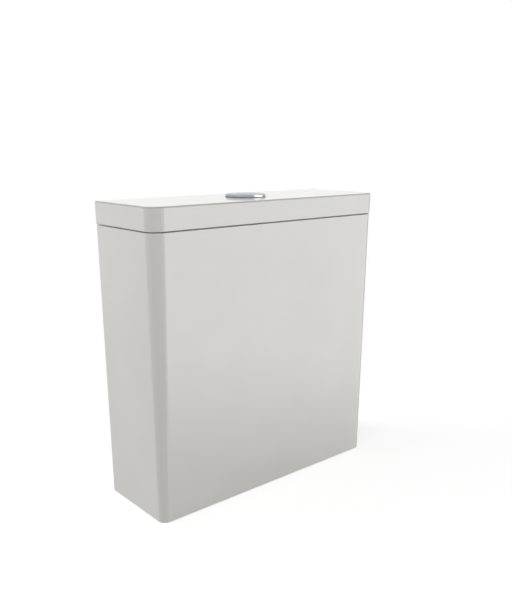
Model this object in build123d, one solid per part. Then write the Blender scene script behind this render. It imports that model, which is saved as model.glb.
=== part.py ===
from build123d import *
import math
import os

# A close-coupled toilet cistern: a glazed china tank and lid, a chromed dual-flush button
# in the lid, a dual-flush drop valve in the middle of the tank, a bottom-entry float valve
# on its right, and the seals, nuts and bolts that hold them. All lengths are millimetres.
#
# Frame: the origin is in the middle of the foot of the tank's skirt. +X is to the right of
# someone facing the cistern, -Y is towards them, +Y is the wall and +Z is up.

# Lid, outside
lid_overhang = 0.7
lid_flare = 0.6
lid_front_overhang = 0.5
lid_front_flare = 0.5
lid_height = 28.9
lid_corner_radius = 17.8
lid_top_edge_radius = 2.5
lid_foot_edge_radius = 1.0

# Lid, underneath
lid_wall = 10.0
lid_plate = 10.0
lid_pocket_radius = 10.0
lid_pocket_roof_radius = 3.0
lug_length = 36.0
lug_thickness = 6.0
lug_drop = 8.0
lug_clearance = 2.0
lug_inset = 46.0

# China tank. The front and the sides lean in towards the foot, and the back is upright.
rim_height = 363.6
foot_width = 365.0
foot_depth = 123.0
side_lean = 7.0
front_lean = 6.0
rim_corner_radius = 17.4
foot_corner_radius = 10.5
back_corner_radius = 3.0
china_wall = 9.0
inner_corner_radius = 12.0
floor_thickness = 10.0
skirt_height = 44.0
cavity_floor_radius = 8.0
skirt_roof_radius = 3.0
rim_edge_radius = 1.0
rim_inner_radius = 2.0
foot_edge_radius = 1.2
wall_hole_radius = 4.5
wall_hole_spacing = 230.0
wall_hole_drop = 33.6

# Lid buffers, which keep the lid off the rim
seam_gap = 0.8
buffer_radius = 2.4
buffer_spacing = 250.0

# Clearances that the fits share
slip = 0.3
running = 0.4
thread_play = 0.12
cut = 1.0

# Flush valve base, with its outlet tail through the tank floor
tail_radius = 29.8
tail_bore = 23.5
nose_step = 2.3
nose_foot = 8.0
nose_chamfer = 1.0
tail_below_floor = 22.0
valve_hole_clearance = 2.2
flange_land = 9.0
flange_thickness = 5.0
base_seal_thickness = 4.0
seat_height = 9.7
seat_lip_thickness = 4.0
seat_lip_radius = 1.2
bayonet_inset = 5.0
bayonet_wall = 2.5
bayonet_height = 8.0
bayonet_lug_reach = 2.2
bayonet_lug_height = 3.0
bayonet_lug_arc = 20.0
bayonet_slot_arc = 28.0
bayonet_count = 3
web_thickness = 2.2
web_height = 14.0
web_hub_radius = 4.0

# Flush valve back nut and the coupling ring that seals on the pan
back_nut_wall = 5.7
back_nut_thickness = 10.0
back_nut_lug_reach = 3.5
back_nut_lug_width = 9.0
back_nut_lugs = 8
ring_skirt_gap = 3.2
ring_drop = 27.0
ring_lip_gap = 4.5
ring_lip_height = 15.0
ring_chamfer = 4.0

# Close-coupling bolts
bolt_spacing = 150.0
bolt_radius = 4.0
bolt_tip_height = 4.0
bolt_tip_chamfer = 0.8
bolt_head_radius = 9.5
bolt_head_thickness = 5.0
bolt_head_round = 3.0
bolt_slot_width = 1.8
bolt_slot_depth = 2.2
bolt_hole_clearance = 1.5
bolt_seal_radius = 12.0
bolt_seal_thickness = 5.0
bolt_seal_plug = 4.0
plate_washer_radius = 11.0
plate_washer_thickness = 1.6
bolt_nut_width = 13.0
bolt_nut_thickness = 6.5
undercut_width = 1.0
undercut_depth = 0.5

# Valve cage, which turns onto the base
cage_wall = 2.5
cage_roof = 2.5
cage_window_foot = 12.0
cage_window_height_share = 0.38
cage_window_arc = 62.0
cage_window_count = 4
cage_slot_arc = 14.0
cage_slot_height_share = 0.17
cage_slot_foot_share = 0.68
cage_slot_count = 8
neck_gap = 3.4
neck_wall = 2.6
neck_height = 48.0
neck_guide_height = 8.0

# Overflow tube, its foot and its seal
overflow_radius = 17.0
overflow_wall = 2.0
foot_flange_inset = 3.2
foot_flange_thickness = 3.0
seal_overlap = 2.7
seal_thickness = 3.0
retainer_clearance = 1.0
retainer_thickness = 3.0
retainer_fin_thickness = 1.8
retainer_fin_drop = 16.0
retainer_fin_count = 4

# Float on the overflow tube, inside the cage
tube_float_gap = 4.4
tube_float_wall = 1.6
tube_float_height_share = 0.27
tube_float_headroom = 7.0
tube_bead_height = 1.5
tube_bead_reach = 1.2
tube_clip_height = 2.5
tube_clip_wall = 2.2

# Tower head, which slides over the neck of the cage and carries the rockers
head_sleeve_wall = 2.4
head_sleeve_height = 36.0
head_deck_thickness = 3.0
head_below_barrel = 44.0
cheek_gap = 1.0
cheek_thickness = 3.0
cheek_margin = 11.0
cheek_corner_radius = 10.0
guide_plate_margin = 1.9
guide_plate_thickness = 3.0
guide_funnel = 1.5
height_clip_wall = 2.4
height_clip_height = 6.0
height_clip_rise = 8.0

# Buttons, rods and rockers. Pressing a rod turns its rocker, which lifts the yoke.
press_travel = 7.0
rod_radius = 2.0
rod_foot_radius = 3.0
rod_foot_height = 3.0
rod_guide_clearance = 0.6
rocker_inner_arm = 11.0
rocker_outer_arm = 21.0
rocker_width = 9.0
rocker_thickness = 4.0
rocker_hub_radius = 5.0
rocker_pad_radius = 3.0
rocker_tip_radius = 2.5
rocker_pin_radius = 2.2
rocker_pin_head_radius = 3.6
rocker_pin_head_thickness = 1.5
rocker_axis_above_tube = 26.0

# Lifting yoke on the overflow tube
yoke_ring_wall = 3.0
yoke_ring_height = 6.0
yoke_below_rim = 16.0
yoke_above_deck = 5.3
yoke_arm_width = 10.0
yoke_arm_thickness = 5.0
yoke_strip_thickness = 3.0
yoke_side_width = 3.0
yoke_bar_height = 4.0

# Half-flush float on a rail on the right of the cage
rail_depth = 7.0
rail_neck_width = 6.0
rail_head_width = 10.0
rail_head_depth = 2.5
rail_tail = 10.0
rail_below_roof = 6.0
half_float_width = 26.0
half_float_depth = 22.0
half_float_height_share = 0.357
half_float_headroom = 6.0
half_float_radius = 3.0
half_float_travel = 12.0
stop_clip_height = 5.0
stop_clip_width = 16.0
stop_clip_depth = 10.0

# Float valve: threaded tail, riser and seals
inlet_inset = 33.5
inlet_radius = 10.48
inlet_bore = 6.6
inlet_hole_clearance = 1.5
inlet_tip_height = 8.0
inlet_tip_chamfer = 0.9
inlet_flange_radius = 17.0
inlet_flange_thickness = 4.0
inlet_seal_thickness = 3.5
inlet_seal_plug = 5.0
inlet_seal_plug_play = 0.3
inlet_nut_width = 30.0
inlet_nut_thickness = 9.0
inlet_nut_flange_radius = 18.5
inlet_nut_flange_thickness = 2.0
grip_width = 26.0
grip_height = 8.0
riser_radius = 13.5
riser_wall = 2.1
inner_riser_wall = 3.0
inner_riser_insert_share = 0.6
fill_valve_below_rim = 101.6
lock_ring_wall = 3.2
lock_ring_height = 14.0
lock_ring_lip = 5.0
lock_ring_grip_radius = 1.2
lock_ring_grips = 16
filter_length = 20.0
filter_wall = 1.3
filter_slot_width = 1.6
filter_slots = 6

# Float valve: head, cap and diaphragm
valve_socket_wall = 2.4
valve_socket_height = 10.0
valve_head_radius = 20.0
valve_head_height = 17.0
valve_waterway_depth = 8.0
diaphragm_radius = 17.5
diaphragm_thickness = 2.0
cap_wall = 2.0
cap_skirt = 9.0
cap_roof = 4.8
cap_edge_radius = 1.2
cap_grips = 12
cap_grip_radius = 1.4
nozzle_radius = 2.0
nozzle_height = 2.0

# Float valve: lever, its pin, the float cup and the adjusting rod
lever_axis_offset = 12.0
lever_axis_above_cap = 8.3
lever_width = 9.0
lever_thickness = 3.5
lever_hub_radius = 3.4
lever_pad_radius = 3.2
lever_pad_drop = 1.5
lever_fork_wall = 2.4
lever_fork_play = 0.8
lever_pin_radius = 1.5
lever_pin_overhang = 1.0
ear_thickness = 3.0
ear_half_length = 4.5
float_travel = 9.0
float_radius = 31.0
float_wall = 1.5
float_height = 35.0
float_sleeve_wall = 1.8
float_sleeve_drop = 15.0
float_headroom = 3.0
float_roof = 2.0
float_edge_radius = 1.0
adjuster_radius = 2.0
adjuster_gap = 5.0
adjuster_top_above_axis = 12.0
adjuster_tail = 10.0
adjuster_clip_radius = 4.0
adjuster_clip_height = 3.0
adjuster_clip_gap = 3.2
bracket_width = 10.0
bracket_height = 6.0
bracket_margin = 5.0

# Push button in the lid
bezel_radius = 27.5
bezel_top_radius = 26.3
bezel_height = 2.9
bezel_wall = 1.4
bezel_edge_radius = 0.6
bezel_flange = 5.2
barrel_length = 42.0
barrel_shelf_thickness = 3.0
barrel_shelf_rise = 6.0
lid_hole_clearance = 0.7
button_pad_thickness = 0.8
button_nut_wall = 6.7
button_nut_thickness = 9.0
button_nut_grip_reach = 3.0
button_nut_grip_width = 8.0
button_nut_grips = 6
button_play = 0.4
button_split_offset = 4.0
button_split_gap = 0.6
button_rise = 1.5
button_dome_radius = 130.0
button_skirt = 13.0
button_skirt_wall = 1.5
button_roof = 2.4
button_edge_radius = 0.6
stem_radius = 3.2
stem_bore_play = 0.1
stem_clearance = 0.5
stem_below_shelf = 4.5
stem_catch_reach = 1.4
stem_catch_height = 2.0
rod_engagement = 8.0
spring_gap = 0.8
spring_wire_radius = 0.35
spring_turns = 7

# China and lid: what follows from the sizes above
rim_width = foot_width + 2 * side_lean
rim_depth = foot_depth + front_lean
lid_foot_width = rim_width + 2 * lid_overhang
lid_foot_depth = rim_depth + lid_front_overhang
lid_top_width = lid_foot_width + 2 * lid_flare
lid_top_depth = lid_foot_depth + lid_front_flare
back_y = lid_top_depth / 2
floor_top = skirt_height + floor_thickness
lid_foot_height = rim_height + seam_gap
lid_top_height = lid_foot_height + lid_height
lid_plate_underside = lid_top_height - lid_plate
wall_hole_height = rim_height - wall_hole_drop
front_face = rim_depth - back_y - china_wall
skirt_face = foot_depth - back_y - china_wall

# Push button, from the lid down
barrel_radius = bezel_radius - bezel_flange
button_radius = barrel_radius - bezel_wall - button_play
bezel_foot = lid_top_height + button_pad_thickness
bezel_top = bezel_foot + bezel_height
barrel_foot = bezel_foot - barrel_length
shelf_foot = barrel_foot + barrel_shelf_rise
shelf_top = shelf_foot + barrel_shelf_thickness
stem_foot = shelf_foot - stem_below_shelf
button_top = bezel_top + button_rise
button_nut_radius = barrel_radius + button_nut_wall
rod_offset = (button_split_offset + button_radius) / 2
spring_radius = stem_radius + spring_gap + 2 * spring_wire_radius

# Rockers and yoke, from the button down
guide_top = barrel_foot - head_below_barrel
guide_foot = guide_top - guide_plate_thickness
guide_hole_radius = rod_foot_radius + rod_guide_clearance
rocker_axis_height = guide_foot - rocker_inner_arm
rocker_axis_offset = rod_offset + rocker_inner_arm
rocker_half_swing = math.degrees(math.asin(press_travel / (2 * rocker_inner_arm)))
rocker_pad_rise = rocker_inner_arm * math.sin(math.radians(rocker_half_swing))
rocker_tip_drop = rocker_outer_arm * math.sin(math.radians(rocker_half_swing))
rocker_tip_x = rocker_axis_offset + rocker_outer_arm
tip_rest_height = rocker_axis_height - rocker_tip_drop
yoke_lift = 2 * rocker_tip_drop
overflow_top = rocker_axis_height - rocker_axis_above_tube
yoke_foot = overflow_top - yoke_below_rim - yoke_ring_height
yoke_top = yoke_foot + yoke_ring_height
yoke_ring_radius = overflow_radius + yoke_ring_wall
strip_inner = rocker_tip_x - yoke_strip_thickness / 2
strip_half_width = rocker_width / 2 + slip + yoke_side_width

# Tower head and cage, from the yoke down
deck_top = yoke_foot - yoke_above_deck
deck_foot = deck_top - head_deck_thickness
cheek_inner = yoke_ring_radius + cheek_gap
cheek_outer = cheek_inner + cheek_thickness
cheek_half_length = rocker_axis_offset + cheek_margin
neck_top = deck_foot - running
neck_bore = overflow_radius + neck_gap
neck_radius = neck_bore + neck_wall
sleeve_radius = neck_radius + slip
cage_top = neck_top - neck_height
tube_float_top = cage_top - cage_roof - tube_float_headroom - yoke_lift

# Outlet, from the floor up
flange_radius = tail_radius + valve_hole_clearance + flange_land
flange_foot = floor_top + base_seal_thickness
flange_top = flange_foot + flange_thickness
thread_foot = skirt_height - tail_below_floor
nose_radius = tail_radius - nose_step
seat_radius = tail_bore + seat_lip_thickness
seat_top = flange_top + seat_height
seal_radius = seat_radius + seal_overlap
seal_foot = seat_top + slip
foot_flange_radius = seal_radius - foot_flange_inset
foot_flange_foot = seal_foot + seal_thickness
retainer_radius = tail_bore - retainer_clearance
retainer_foot = seal_foot - retainer_thickness
bayonet_radius = flange_radius - bayonet_inset
bayonet_top = flange_top + bayonet_height
bayonet_lug_foot = bayonet_top - bayonet_lug_height - slip
cage_radius = bayonet_radius + running + cage_wall
cage_bore = cage_radius - cage_wall
cage_foot = flange_top + slip
cage_height = cage_top - cage_foot
tube_float_radius = cage_bore - tube_float_gap
tube_float_foot = tube_float_top - tube_float_height_share * cage_height
back_nut_radius = tail_radius + back_nut_wall
back_nut_foot = skirt_height - back_nut_thickness
ring_outer_radius = skirt_face - ring_skirt_gap
ring_foot = skirt_height - ring_drop
roof_radius = min(skirt_roof_radius, ring_skirt_gap)
floor_radius = min(cavity_floor_radius, front_face - front_lean - flange_radius)

# Float rail on the cage
rail_start = cage_bore + cage_wall / 2
rail_end = cage_radius + rail_depth
rail_top = cage_top - rail_below_roof
half_float_top = rail_top - half_float_headroom - half_float_travel
half_float_foot = half_float_top - half_float_height_share * cage_height
stop_clip_top = half_float_foot - slip
stop_clip_foot = stop_clip_top - stop_clip_height
rail_foot = stop_clip_foot - rail_tail

# Close-coupling bolts
bolt_seat = floor_top + bolt_seal_thickness
bolt_head_top = bolt_seat + bolt_head_thickness
bolt_nut_top = skirt_height - plate_washer_thickness
bolt_nut_foot = bolt_nut_top - bolt_nut_thickness

# Float valve, from the rim down
inlet_x = foot_width / 2 - china_wall - inlet_inset
inlet_flange_foot = floor_top + inlet_seal_thickness
inlet_flange_top = inlet_flange_foot + inlet_flange_thickness
inlet_nut_foot = skirt_height - inlet_nut_thickness
inner_riser_top = rim_height - fill_valve_below_rim
inner_riser_radius = riser_radius - riser_wall - running
socket_foot = inner_riser_top - valve_socket_height
head_top = inner_riser_top + valve_head_height
cap_roof_foot = head_top + diaphragm_thickness
cap_foot = cap_roof_foot - cap_skirt
cap_top = cap_roof_foot + cap_roof
float_top = socket_foot - float_travel - float_headroom
float_foot = float_top - float_height
float_sleeve_foot = float_foot - float_sleeve_drop
lock_ring_top = float_sleeve_foot - slip
riser_top = lock_ring_top - lock_ring_lip
inner_riser_foot = riser_top - inner_riser_insert_share * (riser_top - inlet_flange_top)
lever_axis_x = inlet_x - lever_axis_offset
lever_axis_height = cap_top + lever_axis_above_cap
lever_arm = float_radius + adjuster_gap - lever_axis_offset
lever_half_swing = math.degrees(math.asin(float_travel / (2 * lever_arm)))
adjuster_x = lever_axis_x - lever_arm
fork_height = lever_axis_height - lever_arm * math.sin(math.radians(lever_half_swing))
bracket_foot = float_top - bracket_height


def disc(radius, low, high, x=0, y=0):
    """An upright cylinder from height low to height high."""
    solid = Cylinder(radius, high - low, align=(Align.CENTER, Align.CENTER, Align.MIN))
    return Pos(x, y, low) * solid


def tube(outer, inner, low, high, x=0, y=0):
    """An upright tube, open at both ends."""
    return disc(outer, low, high, x, y) - disc(inner, low - cut, high + cut, x, y)


def block(x_low, x_high, y_low, y_high, low, high):
    """A box between two corners."""
    solid = Box(x_high - x_low, y_high - y_low, high - low, align=(Align.MIN, Align.MIN, Align.MIN))
    return Pos(x_low, y_low, low) * solid


def cross_rod(radius, x, z, half_length):
    """A cylinder along Y, centred on y = 0."""
    return Pos(x, 0, z) * Rot(90, 0, 0) * Cylinder(radius, 2 * half_length)


def prism(across_flats, sides, low, high, x=0, y=0):
    """An upright prism, such as a nut's blank, with two flats facing front and back."""
    outline = RegularPolygon(across_flats / 2, sides, major_radius=False)
    return Pos(x, y, low) * extrude(outline, high - low)


def wedge(radius, arc, low, high, turn):
    """A pie slice of the given arc in degrees, centred on the direction turn."""
    half = arc / 2
    corners = [(0, 0)]
    for angle in (-half, 0, half):
        reach = radius / math.cos(math.radians(half))
        corners.append((reach * math.cos(math.radians(angle)), reach * math.sin(math.radians(angle))))
    face = make_face(Polyline(*corners, close=True))
    return Pos(0, 0, low) * Rot(0, 0, turn) * extrude(face, high - low)


def sector(outer, inner, arc, low, high, turn):
    """A piece of a tube, arc degrees long, centred on the direction turn."""
    return tube(outer, inner, low, high) & wedge(outer + cut, arc, low - cut, high + cut, turn)


def turns(count, start=0):
    """Directions in degrees, evenly spaced round a circle."""
    return [start + 360 * i / count for i in range(count)]


def group(solids):
    """Several separate solids that share one node."""
    return Compound([solid for shape in solids for solid in shape.solids()])


# China

def plan(width, depth, front_radius, rear_radius, z, back=back_y):
    """The outline of the tank or lid at one height, with its back on the plane y = back."""
    outline = Rectangle(width, depth, align=(Align.CENTER, Align.MAX))
    outline = fillet(outline.vertices().sort_by(Axis.Y)[:2], front_radius)
    outline = fillet(outline.vertices().sort_by(Axis.Y)[-2:], rear_radius)
    return Pos(0, back, z) * outline


def flat_backed(lower, upper):
    """The solid between two outlines, with its back made one true plane."""
    solid = loft([lower, upper], ruled=True)
    faces = solid.faces().sort_by(Axis.Y)
    return Solid(Shell([*faces[:-1], Face(faces[-1].outer_wire())]))


def lean(foot_size, rim_size, z):
    """A size of the tank's outside at height z."""
    return foot_size + (rim_size - foot_size) * z / rim_height


def inner_plan(z):
    """The outline of the tank's inside at height z."""
    width = lean(foot_width, rim_width, z) - 2 * china_wall
    depth = lean(foot_depth, rim_depth, z) - 2 * china_wall
    return plan(width, depth, inner_corner_radius, inner_corner_radius, z, back_y - china_wall)


def cistern_body():
    """The tank: outer shell, water space above the floor, coupling space below it, holes."""
    foot = plan(foot_width, foot_depth, foot_corner_radius, back_corner_radius, 0)
    rim = plan(rim_width, rim_depth, rim_corner_radius, back_corner_radius, rim_height)
    shell = flat_backed(foot, rim)
    shell = fillet(shell.edges().group_by(Axis.Z)[-1], rim_edge_radius)
    shell = fillet(shell.edges().group_by(Axis.Z)[0], foot_edge_radius)
    cavity = loft([inner_plan(floor_top), inner_plan(rim_height + cut)], ruled=True)
    cavity = fillet(cavity.edges().group_by(Axis.Z)[0], floor_radius)
    recess = loft([inner_plan(-cut), inner_plan(skirt_height)], ruled=True)
    recess = fillet(recess.edges().group_by(Axis.Z)[-1], roof_radius)
    shell = shell - cavity - recess
    mouth = shell.faces().sort_by(Axis.Z)[-1].inner_wires()[0].edges()
    shell = fillet(mouth, rim_inner_radius)
    low, high = skirt_height - cut, floor_top + cut
    shell -= disc(tail_radius + valve_hole_clearance, low, high)
    for side in (-1, 1):
        shell -= disc(bolt_radius + bolt_hole_clearance, low, high, side * bolt_spacing / 2)
        shell -= disc(inlet_radius + inlet_hole_clearance, low, high, side * inlet_x)
        drill = Pos(side * wall_hole_spacing / 2, back_y - china_wall / 2, wall_hole_height)
        shell -= drill * Rot(90, 0, 0) * Cylinder(wall_hole_radius, china_wall + 2 * cut)
    return shell


def lid():
    """The lid: a hollow slab whose skirt sits over the rim, with lugs that drop inside it."""
    radius = lid_corner_radius
    foot = plan(lid_foot_width, lid_foot_depth, radius, back_corner_radius, lid_foot_height)
    top = plan(lid_top_width, lid_top_depth, radius, back_corner_radius, lid_top_height)
    slab = flat_backed(foot, top)
    slab = fillet(slab.edges().group_by(Axis.Z)[-1], lid_top_edge_radius)
    slab = fillet(slab.edges().group_by(Axis.Z)[0], lid_foot_edge_radius)
    width, depth = lid_foot_width - 2 * lid_wall, lid_foot_depth - 2 * lid_wall
    mouth = plan(width, depth, lid_pocket_radius, lid_pocket_radius, lid_foot_height - cut,
                 back_y - lid_wall)
    pocket = extrude(mouth, lid_plate_underside - lid_foot_height + cut)
    pocket = fillet(pocket.edges().group_by(Axis.Z)[-1], lid_pocket_roof_radius)
    slab -= pocket
    for x in (-1, 1):
        middle = x * (lid_foot_width / 2 - lug_inset - lug_length / 2)
        left, right = middle - lug_length / 2, middle + lug_length / 2
        for wall_face, outward in ((-front_face, -1), (back_y - china_wall, 1)):
            face = wall_face - outward * lug_clearance
            inside = face - outward * lug_thickness
            skirt = wall_face + outward * lid_wall / 2
            low, high = sorted((face, inside))
            slab += block(left, right, low, high, lid_foot_height - lug_drop, lid_plate_underside + cut)
            low, high = sorted((skirt, inside))
            slab += block(left, right, low, high, lid_foot_height + lid_foot_edge_radius,
                          lid_plate_underside + cut)
    slab -= disc(barrel_radius + lid_hole_clearance, lid_plate_underside - cut, lid_top_height + cut)
    return slab


def lid_buffers():
    """Four small pads on the rim, under the lid's skirt."""
    front = -front_face - china_wall / 2
    rear = back_y - china_wall / 2
    spots = [(x * buffer_spacing / 2, y) for x in (-1, 1) for y in (front, rear)]
    return group([disc(buffer_radius, rim_height, lid_foot_height, x, y) for x, y in spots])


# Outlet: valve base, its seal and nut, and the coupling ring

def flush_valve_base():
    """Threaded tail with a plain nose, flange, valve seat and the ring the cage turns onto."""
    base = disc(tail_radius, thread_foot, flange_foot)
    base += disc(nose_radius, nose_foot, thread_foot)
    base = chamfer(base.edges().group_by(Axis.Z)[0], nose_chamfer)
    base += disc(flange_radius, flange_foot, flange_top)
    base += disc(seat_radius, flange_top, seat_top)
    base = fillet(base.edges().group_by(Axis.Z)[-1], seat_lip_radius)
    base += tube(bayonet_radius, bayonet_radius - bayonet_wall, flange_top, bayonet_top)
    for turn in turns(bayonet_count):
        base += sector(bayonet_radius + bayonet_lug_reach, bayonet_radius - bayonet_wall / 2, bayonet_lug_arc,
                       bayonet_lug_foot, bayonet_lug_foot + bayonet_lug_height, turn)
    base -= disc(tail_bore, nose_foot - cut, seat_top + cut)
    web_top, half = thread_foot + web_height, web_thickness / 2
    for turn in turns(bayonet_count):
        base += Rot(0, 0, turn) * block(0, tail_bore + half, -half, half, thread_foot, web_top)
    return base + disc(web_hub_radius, thread_foot, web_top)


def base_seal_washer():
    return tube(flange_radius, tail_radius + slip, floor_top, flange_foot)


def flush_valve_back_nut():
    """Ring nut with grip lugs, screwed up the tail against the underside of the floor."""
    low, high = back_nut_foot, skirt_height
    nut = disc(back_nut_radius, low, high)
    for turn in turns(back_nut_lugs):
        lug = block(0, back_nut_radius + back_nut_lug_reach, -back_nut_lug_width / 2,
                    back_nut_lug_width / 2, low, high)
        nut += Rot(0, 0, turn) * lug
    return nut - disc(tail_radius + thread_play, low - cut, high + cut)


def coupling_ring():
    """Soft ring round the back nut; its lower lip closes on the pan's inlet."""
    ring = disc(ring_outer_radius, ring_foot, skirt_height)
    ring = chamfer(ring.edges().group_by(Axis.Z)[0], ring_chamfer)
    nut_room = back_nut_radius + back_nut_lug_reach + slip
    ring -= disc(nut_room, ring_foot + ring_lip_height, skirt_height + cut)
    return ring - disc(nose_radius + ring_lip_gap, ring_foot - cut, skirt_height + cut)


# Close-coupling bolts

def at_bolts(make):
    """One copy of a piece at each bolt."""
    return group([make(side * bolt_spacing / 2) for side in (-1, 1)])


def fixing_bolt(x):
    """Mushroom-headed bolt: slotted head inside the tank, shank down into the skirt."""
    head = disc(bolt_head_radius, bolt_seat, bolt_head_top, x)
    head = fillet(head.edges().group_by(Axis.Z)[-1], bolt_head_round)
    head -= block(x - bolt_head_radius, x + bolt_head_radius, -bolt_slot_width / 2,
                  bolt_slot_width / 2, bolt_head_top - bolt_slot_depth, bolt_head_top + cut)
    shank = disc(bolt_radius, bolt_tip_height, bolt_seat, x)
    shank = chamfer(shank.edges().group_by(Axis.Z)[0], bolt_tip_chamfer)
    groove_top = bolt_nut_foot - slip
    shank -= tube(bolt_radius + cut, bolt_radius - undercut_depth, groove_top - undercut_width, groove_top, x)
    return head + shank


def bolt_seal(x):
    """Rubber washer under the bolt head, with a plug that fills the hole in the floor."""
    washer = disc(bolt_seal_radius, floor_top, bolt_seat, x)
    washer += disc(bolt_radius + bolt_hole_clearance - slip, floor_top - bolt_seal_plug, floor_top, x)
    return washer - disc(bolt_radius + thread_play, floor_top - bolt_seal_plug - cut, bolt_seat + cut, x)


def plate_washer(x):
    return tube(plate_washer_radius, bolt_radius + slip, bolt_nut_top, skirt_height, x)


def bolt_nut(x):
    nut = prism(bolt_nut_width, 6, bolt_nut_foot, bolt_nut_top, x)
    return nut - disc(bolt_radius + thread_play, bolt_nut_foot - cut, bolt_nut_top + cut, x)


# Flush valve: cage, overflow tube, seal, float, yoke

def rail_section(play, low, high):
    """The T-shaped rail on the right of the cage, grown all round by play."""
    neck, head = rail_neck_width / 2 + play, rail_head_width / 2 + play
    rail = block(rail_start, rail_end - rail_head_depth / 2, -neck, neck, low, high)
    return rail + block(rail_end - rail_head_depth - play, rail_end + play, -head, head, low, high)


def valve_cage():
    """Drum on four legs with a neck that guides the overflow tube, and the float rail."""
    cage = tube(cage_radius, cage_bore, cage_foot, cage_top)
    for turn in turns(bayonet_count):
        cage -= sector(cage_radius + cut, cage_bore - cut, bayonet_slot_arc, bayonet_lug_foot - slip,
                       bayonet_lug_foot + bayonet_lug_height + slip, turn)
    window_foot = cage_foot + cage_window_foot
    window_top = window_foot + cage_window_height_share * cage_height
    for turn in turns(cage_window_count, 45):
        cage -= sector(cage_radius + cut, cage_bore - cut, cage_window_arc, window_foot, window_top, turn)
    slot_foot = cage_foot + cage_slot_foot_share * cage_height
    slot_top = slot_foot + cage_slot_height_share * cage_height
    for turn in turns(cage_slot_count, 22.5):
        cage -= sector(cage_radius + cut, cage_bore - cut, cage_slot_arc, slot_foot, slot_top, turn)
    cage += tube(cage_radius, neck_bore, cage_top - cage_roof, cage_top)
    cage += tube(neck_radius, neck_bore, cage_top - cage_roof, neck_top)
    cage += tube(neck_radius, overflow_radius + running, neck_top - neck_guide_height, neck_top)
    return cage + rail_section(0, rail_foot, rail_top)


def overflow_tube():
    """Tube from the seal to the overflow level, with a foot flange and a bead for the float."""
    pipe = disc(overflow_radius, retainer_foot, overflow_top)
    pipe += disc(foot_flange_radius, foot_flange_foot, foot_flange_foot + foot_flange_thickness)
    pipe += disc(overflow_radius + tube_bead_reach, tube_float_foot - tube_bead_height, tube_float_foot)
    return pipe - disc(overflow_radius - overflow_wall, retainer_foot - cut, overflow_top + cut)


def seal_disc():
    return tube(seal_radius, overflow_radius + thread_play, seal_foot, foot_flange_foot)


def seal_retainer():
    """Ring that holds the seal up to the foot flange, with fins that slide in the outlet."""
    ring = disc(retainer_radius, retainer_foot, seal_foot)
    for turn in turns(retainer_fin_count, 45):
        fin = block(overflow_radius - overflow_wall, retainer_radius, -retainer_fin_thickness / 2,
                    retainer_fin_thickness / 2, retainer_foot - retainer_fin_drop, seal_foot)
        ring += Rot(0, 0, turn) * fin
    return ring - disc(overflow_radius + thread_play, retainer_foot, seal_foot + cut)


def tube_float():
    """Open-bottomed float round the overflow tube; trapped air holds the valve open."""
    sleeve = overflow_radius + thread_play
    roof_foot = tube_float_top - tube_float_wall
    shell = tube(tube_float_radius, tube_float_radius - tube_float_wall, tube_float_foot, tube_float_top)
    shell += tube(tube_float_radius, sleeve, roof_foot, tube_float_top)
    return shell + tube(sleeve + tube_float_wall, sleeve, tube_float_foot, tube_float_top)


def tube_clips():
    """Spring rings in the tube's grooves: one over the float, one each side of the yoke."""
    inner = overflow_radius + thread_play
    outer = inner + tube_clip_wall
    rings = []
    for low in (tube_float_top, yoke_foot - tube_clip_height, yoke_top):
        high = low + tube_clip_height
        gap = block(0, outer + cut, -tube_clip_wall, tube_clip_wall, low - cut, high + cut)
        rings.append(tube(outer, inner, low, high) - Rot(0, 0, 90) * gap)
    return group(rings)


def yoke_strip(side, window_foot, window_top):
    """One upright of the yoke, with the window that the rocker's tip works in."""
    x_low, x_high = sorted((side * strip_inner, side * (strip_inner + yoke_strip_thickness)))
    strip = block(x_low, x_high, -strip_half_width, strip_half_width, yoke_foot, window_top + yoke_bar_height)
    opening = strip_half_width - yoke_side_width
    return strip - block(x_low - cut, x_high + cut, -opening, opening, window_foot, window_top)


def lift_yoke():
    """Ring on the overflow tube with an arm and an upright to each rocker.

    A rocker's tip lifts the yoke by the top of its window, and the window's height below the
    tip lets the yoke rise without it. The half-flush window is as high above the tip too.
    """
    yoke = disc(yoke_ring_radius, yoke_foot, yoke_top)
    reach, half = strip_inner + yoke_strip_thickness, yoke_arm_width / 2
    yoke += block(-reach, reach, -half, half, yoke_foot, yoke_foot + yoke_arm_thickness)
    yoke -= disc(overflow_radius + thread_play, yoke_foot - cut, yoke_top + cut)
    window_foot = tip_rest_height - rocker_tip_radius - yoke_lift - 2 * slip
    window_top = tip_rest_height + rocker_tip_radius + slip
    yoke += yoke_strip(-1, window_foot, window_top)
    return yoke + yoke_strip(1, window_foot, window_top + yoke_lift + slip)


# Flush valve: tower head, its clip, rockers and pins

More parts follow.
